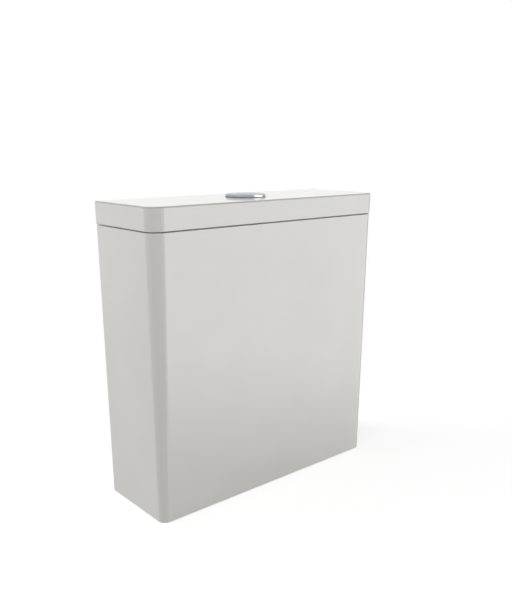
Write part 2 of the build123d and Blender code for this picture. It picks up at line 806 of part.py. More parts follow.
def tower_head():
    """Sleeve over the neck, a deck, two cheeks that carry the pins, and a rod guide plate."""
    sleeve_foot = deck_foot - head_sleeve_height
    head = tube(sleeve_radius + head_sleeve_wall, sleeve_radius, sleeve_foot, deck_foot)
    deck = disc(cheek_half_length + head_deck_thickness, deck_foot, deck_top)
    head += deck & block(-cheek_half_length, cheek_half_length, -cheek_outer, cheek_outer, deck_foot, deck_top)
    for side in (-1, 1):
        low, high = sorted((side * cheek_inner, side * cheek_outer))
        cheek = block(-cheek_half_length, cheek_half_length, low, high, deck_foot, guide_top)
        head += fillet(cheek.edges().filter_by(Axis.Y).group_by(Axis.Z)[-1], cheek_corner_radius)
    plate = rod_offset + guide_hole_radius + guide_funnel + guide_plate_margin
    wide = cheek_inner + cheek_thickness / 2
    head += block(-plate, plate, -wide, wide, guide_foot, guide_top)
    head -= disc(overflow_radius + running + slip, deck_foot - cut, deck_top + cut)
    funnel = Cone(guide_hole_radius, guide_hole_radius + guide_funnel, guide_funnel,
                  align=(Align.CENTER, Align.CENTER, Align.MAX))
    for side in (-1, 1):
        head -= disc(guide_hole_radius, guide_foot - cut, guide_top + cut, side * rod_offset)
        head -= Pos(side * rod_offset, 0, guide_top) * funnel
        head -= cross_rod(rocker_pin_radius + thread_play, side * rocker_axis_offset, rocker_axis_height,
                          cheek_outer + cut)
    return head


def height_clip():
    """Open ring that grips the head's sleeve and sets its height on the neck."""
    low = deck_foot - head_sleeve_height + height_clip_rise
    inner = sleeve_radius + head_sleeve_wall + thread_play
    outer = inner + height_clip_wall
    ring = tube(outer, inner, low, low + height_clip_height)
    gap = block(0, outer + cut, -inner / 2, inner / 2, low - cut, low + height_clip_height + cut)
    return ring - Rot(0, 0, -90) * gap


def rocker(side):
    """Rocker on the left (side -1) or right (side 1), turned to its place at rest."""
    half = rocker_width / 2
    bar = block(-rocker_inner_arm, rocker_outer_arm, -half, half, -rocker_thickness / 2, rocker_thickness / 2)
    bar += cross_rod(rocker_pad_radius, -rocker_inner_arm, 0, half)
    bar += cross_rod(rocker_tip_radius, rocker_outer_arm, 0, half)
    bar += cross_rod(rocker_hub_radius, 0, 0, cheek_inner - running)
    bar -= cross_rod(rocker_pin_radius + thread_play, 0, 0, cheek_inner + cut)
    bar = Rot(0, rocker_half_swing, 0) * bar
    if side < 0:
        bar = mirror(bar, about=Plane.YZ)
    return Pos(side * rocker_axis_offset, 0, rocker_axis_height) * bar


def rocker_pins():
    """Two headed pins through the cheeks and the rockers' hubs."""
    pins = []
    head = disc(rocker_pin_head_radius, 0, rocker_pin_head_thickness)
    for x in (-rocker_axis_offset, rocker_axis_offset):
        pin = cross_rod(rocker_pin_radius, x, rocker_axis_height, cheek_outer + slip)
        pins.append(pin + Pos(x, -cheek_outer - slip, rocker_axis_height) * Rot(90, 0, 0) * head)
    return group(pins)


# Half-flush float and its stop

def half_flush_float():
    """Float that slides on the cage's rail and ends the short flush."""
    x_low = cage_radius + running
    body = block(x_low, x_low + half_float_depth, -half_float_width / 2, half_float_width / 2,
                 half_float_foot, half_float_top)
    body = fillet(body.edges().filter_by(Axis.Z), half_float_radius)
    return body - rail_section(running, half_float_foot - cut, half_float_top + cut)


def float_stop_clip():
    """Clip on the rail that the half-flush float rests on."""
    x_low = cage_radius + running
    body = block(x_low, x_low + stop_clip_depth, -stop_clip_width / 2, stop_clip_width / 2,
                 stop_clip_foot, stop_clip_top)
    return body - rail_section(thread_play, stop_clip_foot - cut, stop_clip_top + cut)


# Float valve

def inlet_thread(x, high):
    """Threaded tail with a chamfered tip and an undercut below its nut."""
    tail = disc(inlet_radius, inlet_tip_height, high, x)
    tail = chamfer(tail.edges().group_by(Axis.Z)[0], inlet_tip_chamfer)
    groove = inlet_nut_foot - slip
    return tail - tube(inlet_radius + cut, inlet_radius - undercut_depth, groove - undercut_width, groove, x)


def inlet_shank():
    """Tail, flange, grip and the outer riser of the float valve, in one moulding."""
    shank = inlet_thread(inlet_x, inlet_flange_foot)
    shank += disc(inlet_flange_radius, inlet_flange_foot, inlet_flange_top, inlet_x)
    grip = 2 * (riser_radius + riser_wall)
    shank += prism(grip, 8, inlet_flange_top, inlet_flange_top + grip_height, inlet_x)
    shank += disc(riser_radius, inlet_flange_top, riser_top, inlet_x)
    shank -= disc(riser_radius - riser_wall, inlet_flange_top, riser_top + cut, inlet_x)
    return shank - disc(inlet_bore, inlet_tip_height - cut, riser_top + cut, inlet_x)


def blanking_plug():
    """Plug that closes the spare inlet hole on the left."""
    plug = inlet_thread(-inlet_x, inlet_flange_foot)
    plug += disc(inlet_flange_radius, inlet_flange_foot, inlet_flange_top, -inlet_x)
    return plug + prism(grip_width, 6, inlet_flange_top, inlet_flange_top + grip_height, -inlet_x)


def inlet_seal(x):
    """Rubber washer under the flange, with a plug that centres it in the floor's hole."""
    plug_radius = inlet_radius + inlet_hole_clearance - inlet_seal_plug_play
    washer = disc(inlet_flange_radius, floor_top, inlet_flange_foot, x)
    washer += disc(plug_radius, floor_top - inlet_seal_plug, floor_top, x)
    bore_low, bore_high = floor_top - inlet_seal_plug - cut, inlet_flange_foot + cut
    return washer - disc(inlet_radius + thread_play, bore_low, bore_high, x)


def inlet_nut(x):
    nut = prism(inlet_nut_width, 6, inlet_nut_foot, skirt_height, x)
    nut += disc(inlet_nut_flange_radius, skirt_height - inlet_nut_flange_thickness, skirt_height, x)
    return nut - disc(inlet_radius + thread_play, inlet_nut_foot - cut, skirt_height + cut, x)


def at_inlets(make):
    """One copy of a piece at each inlet hole."""
    return group([make(side * inlet_x) for side in (-1, 1)])


def inlet_filter():
    """Slotted strainer in the mouth of the tail."""
    low = inlet_tip_height + inlet_tip_chamfer
    outer = inlet_bore - thread_play
    strainer = disc(outer, low, low + filter_length, inlet_x)
    strainer -= disc(outer - filter_wall, low - cut, low + filter_length - filter_wall, inlet_x)
    slot_low, slot_high = low + 2 * filter_wall, low + filter_length - 2 * filter_wall
    for turn in turns(filter_slots):
        slot = block(0, outer + cut, -filter_slot_width / 2, filter_slot_width / 2, slot_low, slot_high)
        strainer -= Pos(inlet_x, 0, 0) * Rot(0, 0, turn) * slot
    return strainer


def inner_riser():
    """Tube that telescopes in the outer riser and carries the valve's head."""
    bore = inner_riser_radius - inner_riser_wall
    return tube(inner_riser_radius, bore, inner_riser_foot, inner_riser_top, inlet_x)


def riser_lock_ring():
    """Grooved ring that locks the two risers together."""
    inner = riser_radius + thread_play
    outer = inner + lock_ring_wall
    ring_low = lock_ring_top - lock_ring_height
    ring = tube(outer, inner, ring_low, riser_top + slip, inlet_x)
    ring += tube(outer, inner_riser_radius + thread_play, riser_top + slip, lock_ring_top, inlet_x)
    groove = disc(lock_ring_grip_radius, ring_low - cut, lock_ring_top + cut, outer + lock_ring_grip_radius / 2)
    for turn in turns(lock_ring_grips):
        ring -= Pos(inlet_x, 0, 0) * Rot(0, 0, turn) * groove
    return ring


def fill_valve_head():
    """Valve body on top of the inner riser, with its socket and waterway."""
    socket = inner_riser_radius + thread_play
    head = tube(socket + valve_socket_wall, socket, socket_foot, inner_riser_top, inlet_x)
    head += disc(valve_head_radius, inner_riser_top, head_top, inlet_x)
    bore = inner_riser_radius - inner_riser_wall
    return head - disc(bore, inner_riser_top - cut, inner_riser_top + valve_waterway_depth, inlet_x)


def fill_valve_diaphragm():
    """Rubber disc clamped between the head and the cap."""
    return disc(diaphragm_radius, head_top, cap_roof_foot, inlet_x)


def fill_valve_cap():
    """Screwed cap over the diaphragm, with the pilot nozzle and the ears for the lever."""
    inner = valve_head_radius + thread_play
    outer = inner + cap_wall
    cap = disc(outer, cap_foot, cap_top, inlet_x)
    cap = fillet(cap.edges().group_by(Axis.Z)[-1], cap_edge_radius)
    cap -= disc(inner, cap_foot - cut, cap_roof_foot, inlet_x)
    groove = disc(cap_grip_radius, cap_foot - cut, cap_roof_foot, outer + cap_grip_radius / 2)
    for turn in turns(cap_grips):
        cap -= Pos(inlet_x, 0, 0) * Rot(0, 0, turn) * groove
    cap += disc(nozzle_radius, cap_top, cap_top + nozzle_height, inlet_x)
    ear_inner = lever_width / 2 + slip
    eye = cross_rod(ear_half_length, lever_axis_x, lever_axis_height, ear_thickness / 2)
    for side in (-1, 1):
        low, high = sorted((side * ear_inner, side * (ear_inner + ear_thickness)))
        cap += block(lever_axis_x - ear_half_length, lever_axis_x + ear_half_length, low, high,
                     cap_roof_foot, lever_axis_height)
        cap += Pos(0, (low + high) / 2, 0) * eye
    hole = lever_pin_radius + thread_play
    return cap - cross_rod(hole, lever_axis_x, lever_axis_height, ear_inner + ear_thickness + cut)


def fill_lever():
    """Lever that the float works, turned to where the float rests at its lower stop."""
    half = lever_width / 2
    bar = block(-lever_arm, lever_axis_offset, -half, half, -lever_thickness / 2, lever_thickness / 2)
    pad_high = -lever_thickness / 2
    bar += disc(lever_pad_radius, pad_high - lever_pad_drop, pad_high, lever_axis_offset)
    bar += disc(half, -lever_thickness / 2, lever_thickness / 2, lever_axis_offset)
    fork_bore = adjuster_radius + lever_fork_play
    bar += disc(fork_bore + lever_fork_wall, -lever_thickness / 2, lever_thickness / 2, -lever_arm)
    bar -= disc(fork_bore, -lever_thickness, lever_thickness, -lever_arm)
    bar += cross_rod(lever_hub_radius, 0, 0, half)
    bar -= cross_rod(lever_pin_radius + thread_play, 0, 0, half + cut)
    bar = Rot(0, -lever_half_swing, 0) * bar
    return Pos(lever_axis_x, 0, lever_axis_height) * bar


def fill_lever_pin():
    """Pin through the ears of the cap and the lever's hub."""
    reach = lever_width / 2 + slip + ear_thickness + lever_pin_overhang
    return cross_rod(lever_pin_radius, lever_axis_x, lever_axis_height, reach)


def float_cup():
    """Open-bottomed float that slides on the inner riser, with a bracket for its rod."""
    sleeve_inner = inner_riser_radius + running
    sleeve_outer = sleeve_inner + float_sleeve_wall
    cup = disc(float_radius, float_foot, float_top, inlet_x)
    cup = fillet(cup.edges().group_by(Axis.Z)[-1], float_edge_radius)
    cup -= disc(float_radius - float_wall, float_foot - cut, float_top - float_roof, inlet_x)
    cup += disc(sleeve_outer, float_sleeve_foot, float_top, inlet_x)
    cup += block(adjuster_x - bracket_margin, inlet_x - float_radius + float_wall, -bracket_width / 2,
                 bracket_width / 2, bracket_foot, float_top)
    cup -= disc(adjuster_radius + thread_play, bracket_foot - cut, float_top + cut, adjuster_x)
    return cup - disc(sleeve_inner, float_sleeve_foot - cut, float_top + cut, inlet_x)


def adjusting_rod():
    """Threaded rod from the float's bracket up through the lever's fork."""
    top = lever_axis_height + adjuster_top_above_axis
    return disc(adjuster_radius, bracket_foot - adjuster_tail, top, adjuster_x)


def adjuster_clips():
    """Two collars on the rod, one under and one over the fork of the lever."""
    inner = adjuster_radius + thread_play
    lower_top = fork_height - adjuster_clip_gap
    upper_foot = fork_height + adjuster_clip_gap
    lower = tube(adjuster_clip_radius, inner, lower_top - adjuster_clip_height, lower_top, adjuster_x)
    upper = tube(adjuster_clip_radius, inner, upper_foot, upper_foot + adjuster_clip_height, adjuster_x)
    return group([lower, upper])


# Push button

def button_bezel():
    """Chromed ring on the lid, with a threaded barrel and a shelf that the springs stand on."""
    inner = barrel_radius - bezel_wall
    ring = Pos(0, 0, bezel_foot) * Cone(bezel_radius, bezel_top_radius, bezel_height,
                                        align=(Align.CENTER, Align.CENTER, Align.MIN))
    ring = fillet(ring.edges().group_by(Axis.Z)[-1], bezel_edge_radius)
    ring += disc(barrel_radius, barrel_foot, bezel_foot)
    ring -= disc(inner, shelf_top, bezel_top + cut)
    ring -= disc(inner, barrel_foot - cut, shelf_foot)
    for side in (-1, 1):
        ring -= disc(stem_radius + stem_clearance, shelf_foot - cut, shelf_top + cut, side * rod_offset)
    return ring


def button_pad():
    """Thin foam washer between the bezel and the lid."""
    return tube(bezel_radius - bezel_edge_radius, barrel_radius + slip, lid_top_height, bezel_foot)


def button_nut():
    """Plastic ring nut that clamps the button under the lid."""
    low, high = lid_plate_underside - button_nut_thickness, lid_plate_underside
    nut = disc(button_nut_radius, low, high)
    for turn in turns(button_nut_grips):
        grip = block(0, button_nut_radius + button_nut_grip_reach, -button_nut_grip_width / 2,
                     button_nut_grip_width / 2, low, high)
        nut += Rot(0, 0, turn) * grip
    return nut - disc(barrel_radius + thread_play, low - cut, high + cut)


def button_half(radius, side, low, high, inset):
    """The part of a disc on one side of the split between the two buttons."""
    edge = button_split_offset + side * (button_split_gap / 2 + inset)
    whole = disc(radius, low, high)
    if side > 0:
        return whole & block(edge, radius + cut, -radius - cut, radius + cut, low - cut, high + cut)
    return whole & block(-radius - cut, edge, -radius - cut, radius + cut, low - cut, high + cut)


def button(side):
    """One flush button: a domed cap, a skirt inside the bezel and a hollow stem."""
    skirt_foot = bezel_top - button_skirt
    cap = button_half(button_radius, side, skirt_foot, button_top + cut, 0)
    dome = Pos(0, 0, button_top - button_dome_radius) * Sphere(button_dome_radius)
    cap = cap & dome
    top_edges = cap.faces().sort_by(Axis.Z)[-1].edges()
    cap = fillet(top_edges, button_edge_radius)
    roof_foot = bezel_top - button_roof
    cap -= button_half(button_radius - button_skirt_wall, side, skirt_foot - cut, roof_foot, button_skirt_wall)
    x = side * rod_offset
    cap += disc(stem_radius, stem_foot, roof_foot + cut, x)
    catch_top = shelf_foot - slip
    cap += disc(stem_radius + stem_catch_reach, catch_top - stem_catch_height, catch_top, x)
    return cap - disc(rod_radius + stem_bore_play, stem_foot - cut, stem_foot + rod_engagement + slip, x)


def push_rod(side):
    """Rod from a button's stem down to the pad of its rocker."""
    x = side * rod_offset
    foot = rocker_axis_height + rocker_pad_rise + rocker_pad_radius + slip
    rod = disc(rod_radius, foot, stem_foot + rod_engagement, x)
    return rod + disc(rod_foot_radius, foot, foot + rod_foot_height, x)


def button_spring(side):
    """Coil spring round a stem, from the shelf up to the underside of the button's roof."""
    low = shelf_top + spring_wire_radius
    high = bezel_top - button_roof - spring_wire_radius - slip
    coil_radius = spring_radius - spring_wire_radius
    line = Helix((high - low) / spring_turns, high - low, coil_radius, center=(side * rod_offset, 0, low))
    wire = Plane(origin=line @ 0, z_dir=line % 0) * Circle(spring_wire_radius)
    return sweep(wire, path=line)


nodes = {
    "cistern_body": cistern_body,
    "lid": lid,
    "lid_buffers": lid_buffers,
    "flush_valve_base": flush_valve_base,
    "base_seal_washer": base_seal_washer,
    "flush_valve_back_nut": flush_valve_back_nut,
    "coupling_ring": coupling_ring,
    "fixing_bolts": lambda: at_bolts(fixing_bolt),
    "bolt_seal_washers": lambda: at_bolts(bolt_seal),
    "bolt_plate_washers": lambda: at_bolts(plate_washer),
    "bolt_nuts": lambda: at_bolts(bolt_nut),
    "valve_cage": valve_cage,
    "overflow_tube": overflow_tube,
    "seal_disc": seal_disc,
    "seal_retainer": seal_retainer,
    "tube_float": tube_float,
    "lift_yoke": lift_yoke,
    "tube_clips": tube_clips,
    "tower_head": tower_head,
    "height_clip": height_clip,
    "full_flush_rocker": lambda: rocker(-1),
    "half_flush_rocker": lambda: rocker(1),
    "rocker_pins": rocker_pins,
    "half_flush_float": half_flush_float,
    "float_stop_clip": float_stop_clip,
    "inlet_shank": inlet_shank,
    "blanking_plug": blanking_plug,
    "inlet_seal_washers": lambda: at_inlets(inlet_seal),
    "inlet_back_nuts": lambda: at_inlets(inlet_nut),
    "inlet_filter": inlet_filter,
    "inner_riser": inner_riser,
    "riser_lock_ring": riser_lock_ring,
    "fill_valve_head": fill_valve_head,
    "fill_valve_diaphragm": fill_valve_diaphragm,
    "fill_valve_cap": fill_valve_cap,
    "fill_lever": fill_lever,
    "fill_lever_pin": fill_lever_pin,
    "float_cup": float_cup,
    "adjusting_rod": adjusting_rod,
    "adjuster_clips": adjuster_clips,
    "button_bezel": button_bezel,
    "button_pad": button_pad,
    "button_nut": button_nut,
    "full_flush_button": lambda: button(-1),
    "half_flush_button": lambda: button(1),
    "full_push_rod": lambda: push_rod(-1),
    "half_push_rod": lambda: push_rod(1),
    "full_button_spring": lambda: button_spring(-1),
    "half_button_spring": lambda: button_spring(1),
}

os.makedirs("parts", exist_ok=True)
for name, make in nodes.items():
    export_step(make(), f"parts/{name}.step")
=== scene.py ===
import math

import bpy
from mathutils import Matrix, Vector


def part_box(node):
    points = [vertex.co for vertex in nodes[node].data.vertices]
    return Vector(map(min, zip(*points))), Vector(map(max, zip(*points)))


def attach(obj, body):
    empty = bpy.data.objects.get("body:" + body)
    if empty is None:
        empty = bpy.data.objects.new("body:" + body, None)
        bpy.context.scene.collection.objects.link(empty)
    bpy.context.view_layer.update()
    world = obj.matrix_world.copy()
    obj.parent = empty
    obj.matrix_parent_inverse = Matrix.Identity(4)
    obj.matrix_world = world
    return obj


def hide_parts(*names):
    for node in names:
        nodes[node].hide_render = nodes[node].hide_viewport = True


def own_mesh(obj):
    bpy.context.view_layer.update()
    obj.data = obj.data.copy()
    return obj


# A close-coupled toilet cistern in glazed china with a chromed dual-flush button.
# Lengths in this file are millimetres unless a name says metres; MM turns them to metres.

MM = 0.001

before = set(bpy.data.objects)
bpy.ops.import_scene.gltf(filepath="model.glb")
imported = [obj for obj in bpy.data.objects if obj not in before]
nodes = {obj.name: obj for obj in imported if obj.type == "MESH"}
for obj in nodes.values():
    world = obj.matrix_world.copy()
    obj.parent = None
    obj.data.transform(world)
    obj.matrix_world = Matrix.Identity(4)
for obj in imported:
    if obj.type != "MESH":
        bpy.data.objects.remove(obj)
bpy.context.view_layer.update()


# Small helpers

def linear(code):
    """An sRGB hex colour as a linear colour with alpha."""
    parts = [int(code[i:i + 2], 16) / 255 for i in (1, 3, 5)]
    return (*[v / 12.92 if v <= 0.04045 else ((v + 0.055) / 1.055) ** 2.4 for v in parts], 1.0)


def add(tree, kind, settings=None, inputs=None):
    """A node with its settings; each input is a value, or the output that feeds it."""
    made = tree.nodes.new(kind)
    for name, value in (settings or {}).items():
        setattr(made, name, value)
    for name, value in (inputs or {}).items():
        if isinstance(value, bpy.types.NodeSocket):
            tree.links.new(value, made.inputs[name])
        else:
            made.inputs[name].default_value = value
    return made


def new_material(name):
    """An empty material with its shader and its place on the object."""
    material = bpy.data.materials.new(name)
    material.use_nodes = True
    tree = material.node_tree
    tree.nodes.clear()
    shader = add(tree, "ShaderNodeBsdfPrincipled")
    add(tree, "ShaderNodeOutputMaterial", inputs={"Surface": shader.outputs[0]})
    place = add(tree, "ShaderNodeTexCoord").outputs["Object"]
    return material, tree, shader, place


def noise(tree, place, size, detail=2.0, stretch=(1, 1, 1)):
    """Noise whose lumps are about size millimetres across, drawn out along an axis by stretch."""
    mapped = add(tree, "ShaderNodeMapping", inputs={
        "Vector": place, "Scale": [1 / s for s in stretch]})
    texture = add(tree, "ShaderNodeTexNoise", inputs={
        "Vector": mapped.outputs[0], "Scale": 1 / (size * MM), "Detail": detail})
    return texture.outputs["Fac"]


def spread(tree, value, low, high, start=0.3, end=0.7):
    """A 0 to 1 pattern spread between two numbers."""
    ranged = add(tree, "ShaderNodeMapRange", inputs={
        "Value": value, "From Min": start, "From Max": end, "To Min": low, "To Max": high})
    return ranged.outputs[0]


def blend(tree, share, first, second):
    """A mix of two colours, given as hex codes or outputs."""
    mixed = add(tree, "ShaderNodeMix", {"data_type": "RGBA"})
    for index, value in ((0, share), (6, first), (7, second)):
        if isinstance(value, str):
            value = linear(value)
        if isinstance(value, bpy.types.NodeSocket):
            tree.links.new(value, mixed.inputs[index])
        else:
            mixed.inputs[index].default_value = value
    return mixed.outputs[2]


def bump(tree, height, depth, below=None):
    """Relief of about depth millimetres from a pattern, on top of another relief."""
    inputs = {"Height": height, "Distance": depth * MM, "Strength": 1.0}
    if below is not None:
        inputs["Normal"] = below
    return add(tree, "ShaderNodeBump", inputs=inputs).outputs[0]


def figure(tree, operation, *values):
    """One sum on numbers or outputs."""
    return add(tree, "ShaderNodeMath", {"operation": operation}, dict(enumerate(values))).outputs[0]


def parts_of(tree, vector):
    """The X, Y and Z of a vector."""
    return add(tree, "ShaderNodeSeparateXYZ", inputs={0: vector}).outputs


# Materials

def vitreous_china(name, bare_low, bare_high):
    """Vitreous china, slip cast and glazed white.

    The glaze is a clear, glossy skin over a pale body: it gives sharp reflections that waver
    slightly, because the fired walls are never quite flat, with rare small specks. The colour is
    greyed where the surface turns round a corner and darker still over the upper edges, both
    painted shade; the upper edges are duller too. The ring that it stands on in the kiln,
    between two heights, is wiped bare and stays matt.
    """
    material, tree, shader, place = new_material(name)
    height = parts_of(tree, place)["Z"]
    facing = add(tree, "ShaderNodeNewGeometry").outputs["Normal"]
    upward = parts_of(tree, facing)["Z"]

    # The standing ring: between its two heights, and facing down.
    over = figure(tree, "GREATER_THAN", height, bare_low * MM)
    below = figure(tree, "LESS_THAN", height, bare_high * MM)
    standing = figure(tree, "MULTIPLY", over, below)
    bare = figure(tree, "MULTIPLY", standing, figure(tree, "LESS_THAN", upward, -0.9))

    # The glaze: cloudy, with specks in 21 mm cells; the rounded corners are greyed and the upper edges
    # darkened, both painted shade.
    cloud = spread(tree, noise(tree, place, 90.0), 0.0, 1.0)
    glaze = blend(tree, cloud, "#EFEEEA", "#EBEAE6")
    ways = add(tree, "ShaderNodeVectorMath", {"operation": "ABSOLUTE"}, {0: facing}).outputs[0]
    ways = parts_of(tree, ways)
    widest = figure(tree, "MAXIMUM", figure(tree, "MAXIMUM", ways["X"], ways["Y"]), ways["Z"])
    # Painted shade: rounded corners, where the normal leans away from every axis, are greyed.
    glaze = blend(tree, spread(tree, widest, 1.0, 0.0, 0.970, 0.996), glaze, "#E3E2DE")
    # Painted shade: a dark line over the upper edges, between the top and the sides; the same mask also
    # makes them rougher.
    edge = figure(tree, "MULTIPLY", spread(tree, upward, 0.0, 1.0, 0.10, 0.40),
                  spread(tree, upward, 1.0, 0.0, 0.85, 0.97))
    glaze = blend(tree, edge, glaze, "#B4B3AF")
    cells = add(tree, "ShaderNodeTexVoronoi", inputs={"Vector": place, "Scale": 1 / (21 * MM)})
    speck = figure(tree, "LESS_THAN", cells.outputs["Distance"], 0.011)
    glaze = blend(tree, speck, glaze, "#CFC8BA")
    bisque = blend(tree, noise(tree, place, 3.0), "#DDD6C8", "#C9C1B1")
    shader.inputs["IOR"].default_value = 1.52

    # Relief and gloss: slow waves, a fine peel on the glaze, grit where it is bare.
    waves = bump(tree, noise(tree, place, 55.0, 1.0), 0.30)
    peel = bump(tree, noise(tree, place, 5.0, 1.0), 0.006, waves)
    grit = bump(tree, noise(tree, place, 0.9, 3.0), 0.05, waves)
    relief = add(tree, "ShaderNodeMix", {"data_type": "VECTOR"})
    for index, value in ((0, bare), (4, peel), (5, grit)):
        tree.links.new(value, relief.inputs[index])
    gloss = spread(tree, noise(tree, place, 60.0), 0.06, 0.11)
    gloss = figure(tree, "MULTIPLY_ADD", edge, 0.3, gloss)
    rough = figure(tree, "MULTIPLY_ADD", bare, 0.65, gloss)
    for socket, value in (("Base Color", blend(tree, bare, glaze, bisque)), ("Roughness", rough),
                          ("Normal", relief.outputs[1])):
        tree.links.new(value, shader.inputs[socket])
    return material


def chromed_abs(name):
    """Chromed ABS: bright plate over a moulded plastic part, mirror-like with faint handling haze."""
    material, tree, shader, place = new_material(name)
    shader.inputs["Metallic"].default_value = 1.0
    haze = noise(tree, place, 9.0, 3.0)
    tint = blend(tree, spread(tree, haze, 0.0, 1.0), "#A9AAB3", "#A0A1AB")
    tree.links.new(tint, shader.inputs["Base Color"])
    tree.links.new(spread(tree, haze, 0.15, 0.22), shader.inputs["Roughness"])
    tree.links.new(bump(tree, noise(tree, place, 7.0, 1.0), 0.004), shader.inputs["Normal"])
    return material


def moulded(name, light, dark, rough, grain, depth):
    """An injection-moulded plastic: even colour with faint flow clouds, and a fine spark-eroded grain.

    Moulded grain is about 0.1 mm; it is drawn at the grain size given so that it shows.
    """
    material, tree, shader, place = new_material(name)
    cloud = spread(tree, noise(tree, place, 14.0, 3.0), 0.0, 1.0)
    tree.links.new(blend(tree, cloud, light, dark), shader.inputs["Base Color"])
    tree.links.new(spread(tree, noise(tree, place, 4.0, 3.0), rough - 0.05, rough + 0.07),
                   shader.inputs["Roughness"])
    tree.links.new(bump(tree, noise(tree, place, grain, 2.0), depth), shader.inputs["Normal"])
    return material


def epdm_rubber(name):
    """EPDM rubber, moulded: near black, dull, with a greyish bloom in patches and a fine grain."""
    material, tree, shader, place = new_material(name)
    bloom = spread(tree, noise(tree, place, 6.0, 4.0), 0.0, 1.0, 0.4, 0.8)
    tree.links.new(blend(tree, bloom, "#1D1D1F", "#34343A"), shader.inputs["Base Color"])
    tree.links.new(spread(tree, bloom, 0.6, 0.8, 0.0, 1.0), shader.inputs["Roughness"])
    tree.links.new(bump(tree, noise(tree, place, 0.6, 3.0), 0.03), shader.inputs["Normal"])
    return material


def polyethylene_foam(name):
    """Closed-cell polyethylene foam: mid grey, matt, with cut cells about 0.9 mm across."""
    material, tree, shader, place = new_material(name)
    cells = add(tree, "ShaderNodeTexVoronoi", inputs={"Vector": place, "Scale": 1 / (0.9 * MM)})
    cells = cells.outputs["Distance"]
    tree.links.new(blend(tree, cells, "#4C4C50", "#7A7A7E"), shader.inputs["Base Color"])
    shader.inputs["Roughness"].default_value = 0.92
    tree.links.new(bump(tree, cells, 0.25), shader.inputs["Normal"])
    return material


def drawn_stainless(name, along):
    """Stainless steel, drawn or turned: pale grey, with fine tool lines that run one way."""
    material, tree, shader, place = new_material(name)
    shader.inputs["Metallic"].default_value = 1.0
    lines = noise(tree, place, 0.5, 2.0, along)
    tree.links.new(blend(tree, lines, "#BDBDBB", "#9B9C9D"), shader.inputs["Base Color"])
    tree.links.new(spread(tree, lines, 0.24, 0.42), shader.inputs["Roughness"])
    tree.links.new(bump(tree, lines, 0.01), shader.inputs["Normal"])
    return material


china_body = vitreous_china("vitreous_china_tank", -1.0, 1.0)
china_lid = vitreous_china("vitreous_china_lid", 364.0, 365.0)
chrome = chromed_abs("chromed_abs")
white_pp = moulded("moulded_polypropylene_white", "#E9E8E3", "#E1E0DA", 0.40, 0.7, 0.012)
grey_pom = moulded("moulded_acetal_grey", "#8B9096", "#7D8288", 0.36, 0.7, 0.012)
blue_pom = moulded("moulded_acetal_blue", "#2763A6", "#1F5795", 0.34, 0.7, 0.012)
nylon_mesh = moulded("moulded_nylon_dark", "#3A3B40", "#2E2F33", 0.5, 0.5, 0.05)
rubber = epdm_rubber("epdm_rubber")
foam = polyethylene_foam("polyethylene_foam")
steel = drawn_stainless("drawn_stainless_steel", (1, 1, 30))
spring_steel = drawn_stainless("drawn_spring_steel", (6, 6, 1))
cross_steel = drawn_stainless("drawn_pin_steel", (1, 30, 1))

finishes = {
    china_body: ["cistern_body"],
    china_lid: ["lid"],
    chrome: ["button_bezel", "full_flush_button", "half_flush_button"],
    white_pp: ["flush_valve_base", "flush_valve_back_nut", "valve_cage", "tower_head", "lift_yoke",
               "overflow_tube", "button_nut", "inlet_shank", "inner_riser", "fill_valve_head",
               "fill_valve_cap", "blanking_plug", "inlet_back_nuts"],
    grey_pom: ["half_flush_float", "tube_float", "float_cup", "seal_retainer", "full_flush_rocker",
               "half_flush_rocker", "fill_lever"],
    blue_pom: ["height_clip", "float_stop_clip", "riser_lock_ring", "tube_clips", "adjuster_clips",
               "full_push_rod", "half_push_rod"],
    nylon_mesh: ["inlet_filter"],
    rubber: ["base_seal_washer", "coupling_ring", "bolt_seal_washers", "inlet_seal_washers", "seal_disc",
             "fill_valve_diaphragm"],
    foam: ["button_pad", "lid_buffers"],
    steel: ["fixing_bolts", "bolt_plate_washers", "bolt_nuts", "adjusting_rod"],
    spring_steel: ["full_button_spring", "half_button_spring"],
    cross_steel: ["rocker_pins", "fill_lever_pin"],
}
for material, names in finishes.items():
    for name in names:
        mesh = nodes[name].data
        mesh.materials.clear()
        mesh.materials.append(material)


# Screw threads on the tails, the bolts, the button's barrel and the adjusting rod

def only(*things):
    """Selects just these objects, the first of them active."""
    bpy.ops.object.select_all(action="DESELECT")
    for thing in things:
        thing.select_set(True)
    bpy.context.view_layer.objects.active = things[0]


def welded_copy(node, name):
    """A copy of a node's mesh with its loose triangles joined up."""
    piece = bpy.data.objects.new(name, nodes[node].data.copy())
    bpy.context.scene.collection.objects.link(piece)
    only(piece)
    bpy.ops.mesh.customdata_custom_splitnormals_clear()
    bpy.ops.object.mode_set(mode="EDIT")
    bpy.ops.mesh.select_all(action="SELECT")
    bpy.ops.mesh.remove_doubles(threshold=0.002 * MM)
    bpy.ops.object.mode_set(mode="OBJECT")
    return piece


